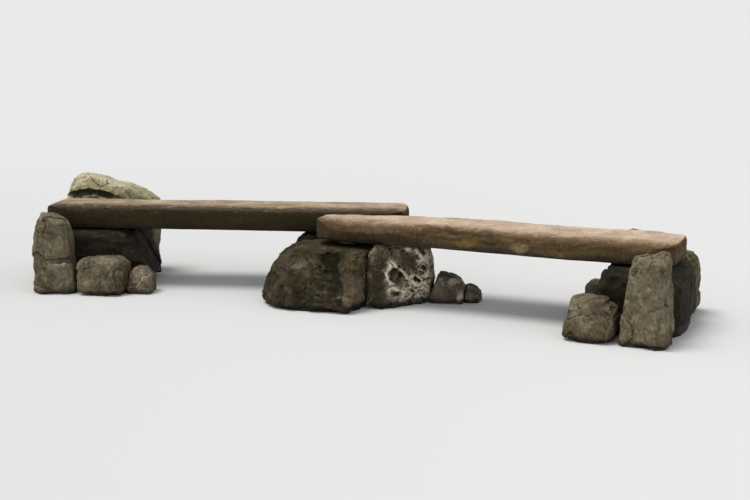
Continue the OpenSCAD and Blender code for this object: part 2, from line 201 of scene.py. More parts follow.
def chipped(piece, points, along, chance, flakes, flake_depth):
    """Wears a slab's ends and corners round, and chips its long arrises, the lower ones less."""
    end_wear, flake_radius, rounds = 0.08, (0.12, 0.55), 5
    corner_cuts = ((15, 0.012), (30, 0.035), (45, 0.06), (60, 0.035), (75, 0.012))
    across = np.array([-along[1], along[0], 0.0])
    for end in (-1, 1):
        points = wear_nose(points, across, end, end_wear, end_wear, chance)
        for side in (-1, 1):
            for turn, depth in corner_cuts:
                turn = math.radians(turn)
                face = along * end * math.cos(turn) + across * side * math.sin(turn)
                heights = points @ face
                points = points - np.outer(np.maximum(heights - heights.max() + depth, 0), face)
    for side in (-1, 1):
        for level, share in ((1, 1.0), (-1, 0.7)):
            places, faces = edge_places(points, along, side, level, chance, int(flakes * share))
            points = strike_flakes(points, places, faces, chance, flake_depth, flake_radius)
    set_points(piece, points)
    wear_round(piece, rounds)


def wire(tree, kind, inputs=None, **settings):
    """Adds a node with its settings and its sockets, as values or as links, and gives its outputs."""
    made = tree.nodes.new(kind)
    for key, value in settings.items():
        setattr(made, key, value)
    for key, value in (inputs or {}).items():
        if isinstance(value, bpy.types.NodeSocket):
            tree.links.new(value, made.inputs[key])
        else:
            made.inputs[key].default_value = value
    return made.outputs


def maths(tree, operation, *values, clamp=False):
    """One step of arithmetic on numbers."""
    return wire(tree, "ShaderNodeMath", dict(enumerate(values)), operation=operation, use_clamp=clamp)[0]


def times(tree, a, b):
    """One number by another."""
    return maths(tree, "MULTIPLY", a, b)


def vector_maths(tree, operation, *values):
    """One step of arithmetic on vectors."""
    outputs = wire(tree, "ShaderNodeVectorMath", dict(enumerate(values)), operation=operation)
    return outputs["Value" if operation in ("DOT_PRODUCT", "LENGTH") else "Vector"]


def noise(tree, place, scale, detail=6.0, roughness=0.55, distortion=0.0, output="Fac"):
    """Cloudy unevenness at a place, as a number or, from the output Color, as a vector."""
    sockets = {"Vector": place, "Scale": scale, "Detail": detail, "Roughness": roughness,
               "Distortion": distortion}
    return wire(tree, "ShaderNodeTexNoise", sockets)[output]


def bend(tree, place, scale, detail, amount):
    """Places that stray by cloudy unevenness, so that what is laid out on them isn't straight."""
    clouds = noise(tree, place, scale, detail, output="Color")
    return vector_maths(tree, "MULTIPLY_ADD", clouds, (amount, amount, amount), place)


def within(tree, value, low, high, to_low=0.0, to_high=1.0, smooth=True):
    """Turns low to high into to_low to to_high, and holds those ends beyond them."""
    sockets = {"Value": value, "From Min": low, "From Max": high, "To Min": to_low, "To Max": to_high}
    kind = "SMOOTHSTEP" if smooth else "LINEAR"
    return wire(tree, "ShaderNodeMapRange", sockets, interpolation_type=kind)["Result"]


def weathering_tree():
    """Geometry nodes that break and weather a stone's skin, and note its hollows for the finish."""
    tree = bpy.data.node_groups.new("weathering", "GeometryNodeTree")
    panel = tree.interface
    panel.new_socket("Geometry", in_out="INPUT", socket_type="NodeSocketGeometry")
    kinds = ("Lump", "Split", "Chip", "Grit", "Layer", "Joint", "Pit")
    starts = {kind + " size": 0.4 for kind in kinds} | {kind + " depth": 0.0 for kind in kinds}
    for label, start in (starts | {"Given back": 0.0, "Seed": 0.0}).items():
        panel.new_socket(label, in_out="INPUT", socket_type="NodeSocketFloat").default_value = start
    panel.new_socket("Finish", in_out="INPUT", socket_type="NodeSocketMaterial")
    panel.new_socket("Geometry", in_out="OUTPUT", socket_type="NodeSocketGeometry")
    given = tree.nodes.new("NodeGroupInput").outputs
    place = wire(tree, "GeometryNodeInputPosition")[0]
    normal = wire(tree, "GeometryNodeInputNormal")[0]
    seed = wire(tree, "ShaderNodeCombineXYZ", {0: given["Seed"], 1: given["Seed"]})[0]
    seat = vector_maths(tree, "ADD", place, seed)
    bent = bend(tree, seat, 1.4, 3.0, 0.35)
    eased = bend(tree, seat, 5.0, 3.0, 0.05)

    def cells(label, share=1.0):
        """The scale at which a pattern's cells have the size under this label."""
        return maths(tree, "DIVIDE", share, given[label])

    def broken_planes(label):
        """Flat breaks: each cell of the stone has a plane of its own, tilted by chance."""
        sockets = {"Vector": eased, "Scale": cells(label)}
        cell = wire(tree, "ShaderNodeTexVoronoi", sockets, feature="F1")
        from_middle = vector_maths(tree, "SUBTRACT", eased, cell["Position"])
        lean = vector_maths(tree, "SUBTRACT", cell["Color"], (0.5, 0.5, 0.5))
        tilt = vector_maths(tree, "DOT_PRODUCT", from_middle, lean)
        step = vector_maths(tree, "DOT_PRODUCT", cell["Color"], (0.4, 0.35, 0.25))
        return maths(tree, "MULTIPLY_ADD", tilt, cells(label, 1.6), step, clamp=True)

    lumps = noise(tree, bent, cells("Lump size"), 4.0, 0.5)
    lumps = within(tree, lumps, 0.3, 0.7, 1.0, 0.0, smooth=False)
    grit = noise(tree, seat, cells("Grit size"), 5.0, 0.65)
    bedded = vector_maths(tree, "MULTIPLY", bent, (0.35, 0.35, 3.0))
    layers = within(tree, noise(tree, bedded, cells("Layer size", 0.33), 5.0, 0.6), 0.35, 0.65)
    off_joint = maths(tree, "SUBTRACT", noise(tree, eased, cells("Joint size"), 2.0), 0.5)
    joints = within(tree, maths(tree, "ABSOLUTE", off_joint), 0.0, 0.022, 1.0, 0.0)
    joints = times(tree, joints, within(tree, noise(tree, seat, 1.7, 3.0), 0.46, 0.56))
    sockets = {"Vector": bent, "Scale": cells("Pit size"), "Smoothness": 0.5}
    pits = wire(tree, "ShaderNodeTexVoronoi", sockets, feature="SMOOTH_F1")["Distance"]
    pits = within(tree, pits, 0.14, 0.46, 1.0, 0.0)
    pits = times(tree, pits, within(tree, noise(tree, seat, 3.4, 3.0), 0.42, 0.58))

    shares = (lumps, broken_planes("Split size"), broken_planes("Chip size"), grit, layers, joints, pits)
    depth = 0.0
    for kind, share in zip(kinds, shares):
        depth = maths(tree, "MULTIPLY_ADD", share, given[kind + " depth"], depth)
    free = wire(tree, "GeometryNodeInputNamedAttribute", {"Name": "free"}, data_type="FLOAT")[0]
    rise = times(tree, maths(tree, "SUBTRACT", given["Given back"], depth), free)
    offset = wire(tree, "ShaderNodeVectorMath", {0: normal, "Scale": rise}, operation="SCALE")[0]
    sockets = {"Geometry": given["Geometry"], "Offset": offset}
    moved = wire(tree, "GeometryNodeSetPosition", sockets)[0]

    place_now = wire(tree, "GeometryNodeInputPosition")[0]
    for label, spread in (("hollow", 4), ("dip", 40)):
        blurred = tree.nodes.new("GeometryNodeBlurAttribute")
        blurred.data_type = "FLOAT_VECTOR"
        blurred.inputs["Iterations"].default_value = spread
        tree.links.new(place_now, next(s for s in blurred.inputs if s.type == "VECTOR" and s.enabled))
        smooth_place = next(s for s in blurred.outputs if s.type == "VECTOR" and s.enabled)
        sunk = vector_maths(tree, "SUBTRACT", smooth_place, place_now)
        sunk = vector_maths(tree, "DOT_PRODUCT", sunk, normal)
        sockets = {"Geometry": moved, "Name": label, "Value": sunk}
        moved = wire(tree, "GeometryNodeStoreNamedAttribute", sockets, data_type="FLOAT", domain="POINT")[0]
    rounded = wire(tree, "GeometryNodeSetShadeSmooth", {"Geometry": moved})[0]
    real = wire(tree, "GeometryNodeRealizeInstances", {"Geometry": rounded})[0]
    done = wire(tree, "GeometryNodeSetMaterial", {"Geometry": real, "Material": given["Finish"]})[0]
    tree.links.new(done, tree.nodes.new("NodeGroupOutput").inputs[0])
    return tree


weathering = weathering_tree()


def weather(piece, finish, seed, beds=(), kept=None, **breaks):
    """Weathers a stone between its flat beds, and gives it its finish.

    Each kind of break has a size and a depth. kept says where the skin stays.
    """
    bed_edge, bed_fade, back_share = 0.004, 0.03, 0.42
    relief = ("lump", "split", "chip", "grit", "layer")
    points = points_of(piece)
    free = np.ones(len(points)) if kept is None else 1 - kept
    for level in beds:
        free *= np.clip((np.abs(points[:, 2] - level) - bed_edge) / bed_fade, 0.0, 1.0)
    note(piece, "free", free)
    given = {"Seed": seed, "Finish": finish}
    given["Given back"] = back_share * sum(depth for kind, (_, depth) in breaks.items() if kind in relief)
    for kind, (size, depth) in breaks.items():
        given[kind.capitalize() + " size"] = size
        given[kind.capitalize() + " depth"] = depth
    step = piece.modifiers.new("weathering", "NODES")
    step.node_group = weathering
    for item in weathering.interface.items_tree:
        if item.in_out == "INPUT" and item.name in given:
            step[item.identifier] = given[item.name]
    settle_modifiers(piece)


def tone_ramp(tree, value, tones, spots):
    """Colours along a value, each tone at its own spot."""
    ramp = tree.nodes.new("ShaderNodeValToRGB")
    tree.links.new(value, ramp.inputs["Fac"])
    line = ramp.color_ramp
    line.elements[0].position, line.elements[1].position = spots[0], spots[-1]
    for spot in spots[1:-1]:
        line.elements.new(spot)
    for element, tone in zip(line.elements, tones):
        element.color = (*tone, 1.0)
    return ramp.outputs[0]


def greys(*values):
    """Grey tones of these values."""
    return [(value, value, value) for value in values]


def blend(tree, share, under, over, kind="MIX"):
    """Lays one colour over another by a share. Each is a tone or another node's colour."""
    share_socket, under_socket, over_socket, colour_output = 0, 6, 7, 2
    under, over = (colour if isinstance(colour, bpy.types.NodeSocket) else (*colour, 1.0)
                   for colour in (under, over))
    sockets = {share_socket: share, under_socket: under, over_socket: over}
    return wire(tree, "ShaderNodeMix", sockets, data_type="RGBA", blend_type=kind,
                clamp_factor=True)[colour_output]


def stone_finish(name, tones, patches, turn, moss, crust=(), crust_share=0.0, damp=-1.0, layered=0.2,
                 tops=None, bands=None, marks=(), streaks=0.35, pale_edges=0.35, bare=(0.7, 0.62, 0.48)):
    """Procedural stone: clouds, patches, strata, stains, grains, crusts, moss, worn arrises, a wet foot.

    bands hold two levels, with spots and tones between them. A mark is a middle, its reach each way, a tone
    and a share. The stone is wet up to the level damp.
    """
    finish = bpy.data.materials.new(name)
    finish.use_nodes = True
    tree = finish.node_tree
    tree.nodes.clear()
    where = wire(tree, "ShaderNodeTexCoord")["Object"]
    seat = wire(tree, "ShaderNodeMapping", {"Vector": where, "Rotation": turn, "Location": turn})[0]
    height = wire(tree, "ShaderNodeSeparateXYZ", {0: where})["Z"]
    normal = wire(tree, "ShaderNodeNewGeometry")["Normal"]
    upward = wire(tree, "ShaderNodeSeparateXYZ", {0: normal})["Z"]
    hollow, dip, bared, nose = (wire(tree, "ShaderNodeAttribute", attribute_name=label)["Fac"]
                                for label in ("hollow", "dip", "bare", "nose"))
    stain_tone, dirt_and_shade_tone, wet_tone = (0.03, 0.024, 0.015), (0.017, 0.013, 0.009), (0.011, 0.009, 0.006)
    dark_moss, light_moss = (0.025, 0.04, 0.006), (0.12, 0.14, 0.025)
    edge_gain = (2.6, 2.4, 2.1)
    bent = bend(tree, seat, 1.3, 4.0, 0.5)
    ragged = noise(tree, seat, 9.0, 7.0, 0.65)

    # Clouded tones, with patches
    clouds = noise(tree, bent, 1.8, 10.0, 0.62)
    colour = tone_ramp(tree, clouds, tones, (0.32, 0.45, 0.55, 0.68))
    patched = within(tree, noise(tree, bent, 4.4, 9.0, 0.68, 0.3), 0.5, 0.6, 0.0, 0.85)
    colour = blend(tree, patched, colour, tone_ramp(tree, noise(tree, bent, 6.0), patches, (0.38, 0.62)))

    # Bands of colour between two levels
    if bands:
        low, high, spots, band_tones = bands
        wander, cover = 0.32, 0.84
        share = maths(tree, "ADD", within(tree, height, low, high, smooth=False), -wander / 2)
        stray = noise(tree, vector_maths(tree, "MULTIPLY", bent, (1.0, 1.0, 3.0)), 2.0, 7.0, 0.62)
        share = maths(tree, "MULTIPLY_ADD", stray, wander, share)
        colour = blend(tree, cover, colour, tone_ramp(tree, share, band_tones, spots))

    # Strata, and dark stains that run down the steep sides
    strata = noise(tree, vector_maths(tree, "MULTIPLY", bent, (0.5, 0.5, 6.0)), 2.4, 9.0, 0.65)
    strata_tone = tone_ramp(tree, strata, greys(0.4, 0.75, 1.0), (0.36, 0.48, 0.62))
    colour = blend(tree, layered, colour, strata_tone, "MULTIPLY")
    runs = noise(tree, vector_maths(tree, "MULTIPLY", bent, (1.0, 1.0, 0.16)), 7.0, roughness=0.6)
    steep = within(tree, maths(tree, "ABSOLUTE", upward), 0.35, 0.8, 1.0, 0.0)
    stain = times(tree, within(tree, runs, 0.5, 0.64), steep)
    colour = blend(tree, times(tree, stain, streaks), colour, stain_tone)

    # The trodden top, but not the margin over the nose, which keeps the darker tones below it as painted
    # shade of the rounded nose
    if tops:
        nose = times(tree, nose, maths(tree, "MULTIPLY_ADD", ragged, 2.6, -0.3))
        off_shaded_margin = maths(tree, "MULTIPLY_ADD", within(tree, nose, 0.05, 0.8), -0.95, 1.0)
        trodden = within(tree, maths(tree, "MULTIPLY_ADD", ragged, 0.34, upward), 0.62, 1.02)
        top_tone = tone_ramp(tree, noise(tree, bent, 2.3, 9.0, 0.62), tops, (0.34, 0.47, 0.56, 0.68))
        colour = blend(tree, times(tree, trodden, off_shaded_margin), colour, top_tone)

    # Marks with ragged edges
    strayed = noise(tree, seat, 3.2, roughness=0.6, output="Color")
    strayed = vector_maths(tree, "SUBTRACT", strayed, (0.5, 0.5, 0.5))
    strayed = vector_maths(tree, "MULTIPLY_ADD", strayed, (0.3, 0.3, 0.3), where)
    for middle, reach, tone, share in marks:
        away = vector_maths(tree, "SUBTRACT", strayed, middle)
        away = vector_maths(tree, "MULTIPLY", away, tuple(1 / side for side in reach))
        away = maths(tree, "MULTIPLY_ADD", ragged, 1.3, vector_maths(tree, "LENGTH", away))
        colour = blend(tree, within(tree, away, 1.1, 2.0, share, 0.0), colour, tone)

    # Flecks and grains
    grain_share = 0.7
    flecks = noise(tree, seat, 30.0, 6.0, 0.75)
    grains = noise(tree, seat, 110.0, 4.0, 0.7)
    fleck_tone = tone_ramp(tree, flecks, greys(0.5, 1.0, 1.35), (0.38, 0.5, 0.64))
    colour = blend(tree, grain_share, colour, fleck_tone, "MULTIPLY")
    grain_tone = tone_ramp(tree, grains, greys(0.6, 1.0, 1.35), (0.36, 0.5, 0.66))
    colour = blend(tree, grain_share, colour, grain_tone, "MULTIPLY")

    # Crusts of lichen, on all but the undersides
    if crust:
        spread = within(tree, noise(tree, seat, 2.2, 3.0), 0.42, 0.6)
        fine_spread = within(tree, noise(tree, bent, 14.0, 9.0, 0.74), 0.48, 0.57)
        spread = times(tree, spread, fine_spread)
        spread = times(tree, spread, within(tree, upward, -0.35, 0.5))
        crust_tone = blend(tree, within(tree, ragged, 0.4, 0.6), *crust)
        colour = blend(tree, times(tree, spread, crust_share), colour, crust_tone)

    # Worn edges, bared stone, and dirt with painted shade in the hollows and dips
    edges = times(tree, within(tree, hollow, -0.004, -0.0006, 1.0, 0.0), pale_edges)
    colour = blend(tree, edges, colour, edge_gain, "MULTIPLY")
    bared = times(tree, bared, within(tree, noise(tree, seat, 22.0, 5.0, 0.7), 0.26, 0.5))
    colour = blend(tree, times(tree, bared, 0.9), colour, bare)
    creases = within(tree, hollow, 0.0006, 0.0055, 0.0, 0.7)
    dips = within(tree, dip, 0.005, 0.03, 0.0, 0.88)
    colour = blend(tree, maths(tree, "MAXIMUM", creases, dips), colour, dirt_and_shade_tone)

    # Moss, most in the dips
    green = maths(tree, "MULTIPLY_ADD", dip, 1.5, noise(tree, bent, 2.9, 8.0, 0.7))
    green = times(tree, within(tree, green, 0.54, 0.66), within(tree, upward, -0.25, 0.4))
    green_tone = blend(tree, noise(tree, seat, 60.0, 4.0, 0.7), dark_moss, light_moss)
    colour = blend(tree, times(tree, green, moss), colour, green_tone)

    # The wet foot
    line = maths(tree, "MULTIPLY_ADD", ragged, -0.1, height)
    wet = within(tree, line, damp - 0.08, damp + 0.01, 1.0, 0.0)
    colour = blend(tree, times(tree, wet, 0.82), colour, wet_tone)

    bumps = maths(tree, "MULTIPLY_ADD", clouds, 0.6, times(tree, flecks, 0.55))
    bumps = maths(tree, "MULTIPLY_ADD", grains, 0.14, bumps)
    bumps = maths(tree, "MULTIPLY_ADD", strata, 0.4 * layered + 0.08, bumps)
    relief = wire(tree, "ShaderNodeBump", {"Height": bumps, "Strength": 0.7, "Distance": 0.03})[0]
    dull = maths(tree, "MULTIPLY_ADD", wet, -0.42, maths(tree, "MULTIPLY_ADD", flecks, 0.3, 0.7))
    sockets = {"Base Color": colour, "Roughness": dull, "Normal": relief, "Specular IOR Level": 0.16}
    skin = wire(tree, "ShaderNodeBsdfPrincipled", sockets)[0]
    tree.links.new(skin, tree.nodes.new("ShaderNodeOutputMaterial").inputs[0])
    return finish


def settle(piece, node):
    """Brings a finished piece to the reach of its node, hides the node and ties the piece down."""
    points = points_of(piece)
    low, high = (np.array(corner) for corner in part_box(node))
    least, most = points.min(axis=0), points.max(axis=0)
    set_points(piece, np.clip(low + (points - least) * (high - low) / (most - least), *CAD_BOX))
    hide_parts(node)
    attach(piece, "root")


def worn_slab(node, seed):
    """A slab's own even mesh, with its points and its chance."""
    grain, rounds = 0.021, 4
    piece = solid_copy(node)
    even_mesh(piece, grain, rounds)
    return piece, points_of(piece), np.random.default_rng(seed)


def note_margin(piece, points, along, width):
    """Notes how near each point lies to a slab's front edge, within a margin of this width."""
    reach, inset, inward = side_of(points, along, -1)
    note(piece, "nose", np.clip(1 - inset / width, 0, 1))


half_bend = math.radians(9.2)
left_along = np.array([math.cos(half_bend), math.sin(half_bend), 0.0])
left_low, left_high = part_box("left_slab")
left_slab, points, chance = worn_slab("left_slab", seed=11)
note_margin(left_slab, points, left_along, width=0.7)
points = wear_nose(points, left_along, -1, upper=0.03, lower=0.06, chance=chance)
points = wear_nose(points, left_along, 1, upper=0.10, lower=0.09, chance=chance)
chipped(left_slab, points, left_along, chance, flakes=14, flake_depth=(0.001, 0.004))
left_finish = stone_finish(
    "left_slab_tan",
    tones=((0.025, 0.018, 0.008), (0.048, 0.035, 0.015), (0.07, 0.05, 0.023), (0.105, 0.07, 0.035)),
    patches=((0.05, 0.043, 0.014), (0.09, 0.055, 0.024)),
    # The bands darken the side from top to underside: partly stain, partly painted shade down the side and
    # under the slab.
    bands=(left_low[2], left_high[2], (0.0, 0.2, 0.5, 0.86, 0.98),
           ((0.015, 0.011, 0.007), (0.026, 0.018, 0.008), (0.035, 0.026, 0.008), (0.03, 0.019, 0.006),
            (0.034, 0.02, 0.009))),
    crust=((0.12, 0.12, 0.06), (0.2, 0.17, 0.1)), crust_share=0.15, moss=0.15, turn=(0.3, 0.1, 0.2),
    layered=0.3, streaks=0.45, pale_edges=0.15,
    marks=(((-1.7, -0.55, 1.17), (1.1, 0.4, 0.12), (0.05, 0.021, 0.009), 0.5),
           ((-3.4, -0.9, 1.22), (0.5, 0.4, 0.1), (0.045, 0.038, 0.014), 0.5)),
    tops=((0.29, 0.205, 0.13), (0.4, 0.295, 0.195), (0.49, 0.37, 0.26), (0.6, 0.47, 0.345)))
weather(left_slab, left_finish, beds=(left_low[2],), lump=(0.8, 0.008), split=(1.1, 0.007),
        chip=(0.3, 0.003), grit=(0.07, 0.004), layer=(0.1, 0.005), seed=1.7)
settle(left_slab, "left_slab")

# Right slab: a second slab of browner stone, with its side worn round like a nose and a bedding seam under
# it. It lies beside the left slab over the pier, and its far end rests on the right abutment.


def cut_seam(points, along, side, level, depth, ledge, chance):
    """Cuts a wandering bedding seam along a slab's side, and sets the bed below it back in lumps."""
    margin, seam_height, ledge_height, foot_height = 0.22, 0.055, 0.08, 0.25
    reach, inset, inward = side_of(points, along, side)
    low, high = points[:, 2].min(), points[:, 2].max()
    height = (points[:, 2] - low) / (high - low) - level - 0.1 * wave(reach, chance, (2.6, 1.3, 0.6, 0.3))
    near = np.clip(1 - inset / margin, 0, 1)
    strength = 0.65 + 0.35 * wave(reach, chance, (1.7, 0.8, 0.4))
    seam = depth * strength * np.exp(-(height / seam_height) ** 2)
    lump = 0.6 + 0.4 * wave(reach, chance, (0.9, 0.45, 0.22))
    below = np.clip(-height / ledge_height, 0, 1)
    below = ledge * lump * below * np.clip((height + level) / foot_height, 0, 1)
    points += np.outer((seam + below) * near, inward)
    return points


right_along = np.array([math.cos(half_bend), -math.sin(half_bend), 0.0])
right_low, right_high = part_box("right_slab")
right_slab, points, chance = worn_slab("right_slab", seed=23)
note_margin(right_slab, points, right_along, width=0.6)
points = wear_nose(points, right_along, -1, upper=0.36, lower=0.15, chance=chance)
points = wear_nose(points, right_along, 1, upper=0.18, lower=0.12, chance=chance)
for side in (-1, 1):
    points = cut_seam(points, right_along, side, level=0.5, depth=0.016, ledge=0.018, chance=chance)
chipped(right_slab, points, right_along, chance, flakes=16, flake_depth=(0.001, 0.006))
right_finish = stone_finish(
    "right_slab_brown",
    tones=((0.06, 0.037, 0.016), (0.11, 0.07, 0.032), (0.16, 0.105, 0.05), (0.23, 0.16, 0.085)),
    patches=((0.065, 0.055, 0.02), (0.19, 0.12, 0.05)),
    # The bands grade the side from the pale top to a dark underside: the ochre and the seam are the stone's
    # own, the darkening down the nose and under it is painted shade.
    bands=(right_low[2], right_high[2], (0.02, 0.2, 0.4, 0.6, 0.77, 0.87, 0.94, 1.0),
           ((0.024, 0.02, 0.022), (0.05, 0.037, 0.025), (0.105, 0.069, 0.034), (0.1, 0.062, 0.025),
            (0.055, 0.029, 0.01), (0.125, 0.073, 0.03), (0.26, 0.165, 0.083), (0.45, 0.315, 0.195))),
    crust=((0.16, 0.14, 0.08), (0.27, 0.22, 0.13)), crust_share=0.15, moss=0.15, turn=(0.1, 0.4, 0.9),
    layered=0.25, streaks=0.25, pale_edges=0.15,
    tops=((0.45, 0.315, 0.22), (0.585, 0.43, 0.31), (0.67, 0.51, 0.375), (0.76, 0.61, 0.475)),
    marks=(((0.85, -0.85, 1.14), (0.95, 0.4, 0.1), (0.033, 0.023, 0.011), 0.85),
           # This mark darkens the lit upper nose: partly the seam's brown, partly painted shade.
           ((1.8, -1.0, 1.31), (0.9, 0.4, 0.045), (0.07, 0.045, 0.02), 0.85),
           # Painted shadow: the slab's near end darkened as if shaded by plants.
           ((-0.3, -0.55, 1.2), (0.35, 0.5, 0.2), (0.045, 0.03, 0.014), 0.55),
           ((2.1, -1.05, 1.285), (0.9, 0.4, 0.028), (0.045, 0.025, 0.009), 0.75),
           ((3.6, -1.35, 1.25), (0.7, 0.4, 0.022), (0.04, 0.024, 0.01), 0.6),
           ((2.2, -1.08, 1.16), (0.2, 0.3, 0.05), (0.2, 0.135, 0.04), 0.8),
           ((3.06, -1.25, 1.16), (0.14, 0.3, 0.05), (0.34, 0.25, 0.14), 0.7),
           ((3.6, -1.35, 1.13), (0.3, 0.3, 0.045), (0.13, 0.095, 0.035), 0.8),
           ((2.6, -1.17, 1.2), (0.2, 0.3, 0.035), (0.03, 0.018, 0.009), 0.75)))
weather(right_slab, right_finish, beds=(right_low[2],), lump=(0.6, 0.010), split=(0.8, 0.008),
        chip=(0.2, 0.006), grit=(0.07, 0.004), layer=(0.1, 0.007), seed=4.2)
settle(right_slab, "right_slab")

# Pier, main boulder: the great stone in front, brown and undressed. It bears the right slab. A furrow runs
# down its face, and its foot is black with wet.
packing_nodes = sorted(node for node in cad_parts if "packing" in node)


def compass(bearing, rise):
    """The direction at a bearing and a rise in degrees."""
    a, e = math.radians(bearing), math.radians(rise)
    return np.array([math.cos(a) * math.cos(e), math.sin(a) * math.cos(e), math.sin(e)])


def strike_flats(points, chance, count, depth):
    """Splits flat facets off a stone, each by a plane that takes a shallow cap away."""
    rises, least_share = (-20, 75), 0.3
    for _ in range(count):
        face = compass(chance.uniform(0, 360), chance.uniform(*rises))
        heights = points @ face
        cut = heights.max() - depth * chance.uniform(least_share, 1.0)
        points = points - np.outer(np.maximum(heights - cut, 0), face)
    return points


def rough_stone(node, seed, flats, flat_depth, flakes, grain, rounds=4, flake_depth=(0.006, 0.03)):
    """A boulder from its own solid: evened, split along flats and knocked about its arrises."""
    rises, flake_radius = (-10, 60), (0.1, 0.5)
    piece = solid_copy(node)
    even_mesh(piece, grain, rounds)
    chance = np.random.default_rng(seed)
    points = strike_flats(points_of(piece), chance, flats, flat_depth)
    middle = points.mean(axis=0)
    places, faces = [], []
    for _ in range(flakes):
        face = compass(chance.uniform(0, 360), chance.uniform(*rises))
        places.append(points[np.argmax((points - middle) @ face)])
        faces.append(face)
    set_points(piece, strike_flakes(points, places, faces, chance, flake_depth, flake_radius))
    return piece


def ease_top(piece, top):
    """Wears a boulder's flat top down, all but around the packing stones that it bears."""
    drop, spared, fade, skirt = 0.05, 0.55, 0.6, 0.3
    far_off, same_level = 9.0, 0.005
    points = points_of(piece)
    away = np.full(len(points), far_off)
    for node in packing_nodes:
        low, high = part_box(node)
        if abs(low[2] - top) < same_level:
            middle = (np.array(low) + np.array(high))[:2] / 2
            away = np.minimum(away, np.linalg.norm(points[:, :2] - middle, axis=1))
    worn = np.clip((away - spared) / fade, 0, 1)
    near_top = np.clip(1 - (top - points[:, 2]) / skirt, 0, 1)
    points[:, 2] -= drop * worn * worn * (3 - 2 * worn) * near_top
    set_points(piece, points)


def press_along(points, bars):
    """Takes stone away along a line of round bars. Each bar is the place where it starts and its radius."""
    for (first, radius), (last, _) in zip(bars[:-1], bars[1:]):
        points = press(points, first, last, radius)
    return points


# These tones are darker than the stone's own brown: partly painted shade, as the pier stands in shade under
# the slabs.
boulder_tones_with_shade = dict(
    tones=((0.019, 0.0135, 0.0055), (0.034, 0.0245, 0.0105), (0.053, 0.039, 0.019), (0.095, 0.072, 0.04)),
    patches=((0.029, 0.026, 0.009), (0.13, 0.1, 0.058)),
    crust=((0.12, 0.11, 0.065), (0.2, 0.175, 0.115)), crust_share=0.35, damp=0.1, layered=0.3,
    pale_edges=0.2)
main_finish = stone_finish(
    "main_boulder_brown", **boulder_tones_with_shade, moss=0.22, turn=(0.2, 0.5, 0.4),
    marks=(((-0.44, -1.32, 0.715), (0.17, 0.3, 0.04), (0.19, 0.15, 0.095), 0.75),
           ((-0.24, -1.38, 0.61), (0.09, 0.3, 0.05), (0.13, 0.105, 0.065), 0.6),
           ((-0.35, -1.38, 0.48), (0.2, 0.4, 0.12), (0.045, 0.039, 0.016), 0.65),
           ((-0.08, -1.36, 0.55), (0.1, 0.4, 0.16), (0.027, 0.021, 0.009), 0.6),
           ((-0.72, -1.05, 0.7), (0.14, 0.4, 0.3), (0.075, 0.052, 0.04), 0.6),
           # These two darkest marks on the furrow are painted shadow cast into it by plants above, on top of
           # the furrow's own shade.
           ((0.14, -1.25, 0.7), (0.07, 0.5, 0.14), (0.009, 0.008, 0.006), 0.85),
           ((0.18, -1.36, 0.48), (0.07, 0.5, 0.24), (0.01, 0.012, 0.006), 0.85),
           ((-0.12, -1.33, 0.66), (0.12, 0.4, 0.13), (0.02, 0.017, 0.007), 0.6),
           ((0.44, -1.1, 0.86), (0.14, 0.4, 0.1), (0.12, 0.088, 0.045), 0.6),
           ((0.5, -1.2, 0.64), (0.22, 0.5, 0.22), (0.1, 0.077, 0.044), 0.7),
           ((0.5, -1.2, 0.31), (0.23, 0.5, 0.22), (0.2, 0.152, 0.098), 0.8),
           ((0.023, -1.34, 0.362), (0.03, 0.2, 0.04), (0.24, 0.2, 0.13), 0.7),
           ((0.41, -1.38, 0.387), (0.04, 0.2, 0.035), (0.24, 0.19, 0.13), 0.7),
           ((0.27, -1.42, 0.247), (0.06, 0.2, 0.03), (0.22, 0.18, 0.12), 0.65),
           ((-0.25, -1.41, 0.3), (0.12, 0.3, 0.12), (0.03, 0.036, 0.011), 0.6),
           ((-0.14, -1.43, 0.17), (0.16, 0.3, 0.06), (0.012, 0.02, 0.006), 0.8),
           ((0.1, -1.43, 0.08), (0.9, 0.4, 0.05), (0.03, 0.016, 0.009), 0.6)))
boulder_breaks = dict(lump=(0.32, 0.06), split=(0.6, 0.05), chip=(0.17, 0.022), grit=(0.09, 0.02),
                      layer=(0.2, 0.008), joint=(0.9, 0.004))
main_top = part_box("pier_main_boulder")[1][2]
main_boulder = rough_stone("pier_main_boulder", seed=31, flats=14, flat_depth=0.05, flakes=26, grain=0.014)
ease_top(main_boulder, main_top)
furrow_radius = 0.13
furrow_line = ((0.06, -1.12, 0.95), (0.113, -1.26, 0.82), (0.15, -1.37, 0.66), (0.19, -1.46, 0.46),
               (0.2, -1.5, 0.34))
furrow = [(place, furrow_radius) for place in furrow_line]
set_points(main_boulder, press_along(points_of(main_boulder), furrow))
weather(main_boulder, main_finish, beds=(0.0, main_top), **boulder_breaks, seed=7.1)
settle(main_boulder, "pier_main_boulder")

# Pier, back boulder: the twin of the main boulder behind it, of the same brown undressed stone, with more
# moss. It bears the left slab's end.
back_finish = stone_finish("boulder_brown", **boulder_tones_with_shade, moss=0.5, turn=(0.7, 0.1, 0.6))
back_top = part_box("pier_back_boulder")[1][2]
back_boulder = rough_stone("pier_back_boulder", seed=37, flats=14, flat_depth=0.05, flakes=26, grain=0.018)
ease_top(back_boulder, back_top)
weather(back_boulder, back_finish, beds=(0.0, back_top), **boulder_breaks, seed=9.4)
settle(back_boulder, "pier_back_boulder")

# Pitted boulder: a paler undressed stone at the pier's right, eaten into holes. Cream ridges stand between
# the dark holes on its front. It bears the right slab directly.


def from_line(points, places):
    """Distance of each point from a line through some places."""
    far_off = 9.0
    nearest = np.full(len(points), far_off)
    for first, last in zip(places[:-1], places[1:]):
        line = last - first
        share = np.clip((points - first) @ line / (line @ line), 0, 1)
        nearest = np.minimum(nearest, np.linalg.norm(points - first - share[:, None] * line, axis=1))
    return nearest


def on_front(points):
    """How far across and how far up the boulder's front places lie, in metres, as they are seen."""
    middle = (1.15, -0.68, 0.5)
    across_and_up = np.array([(0.974, -0.046), (0.228, 0.197), (0.0, 0.979)])
    return (points - middle) @ across_and_up


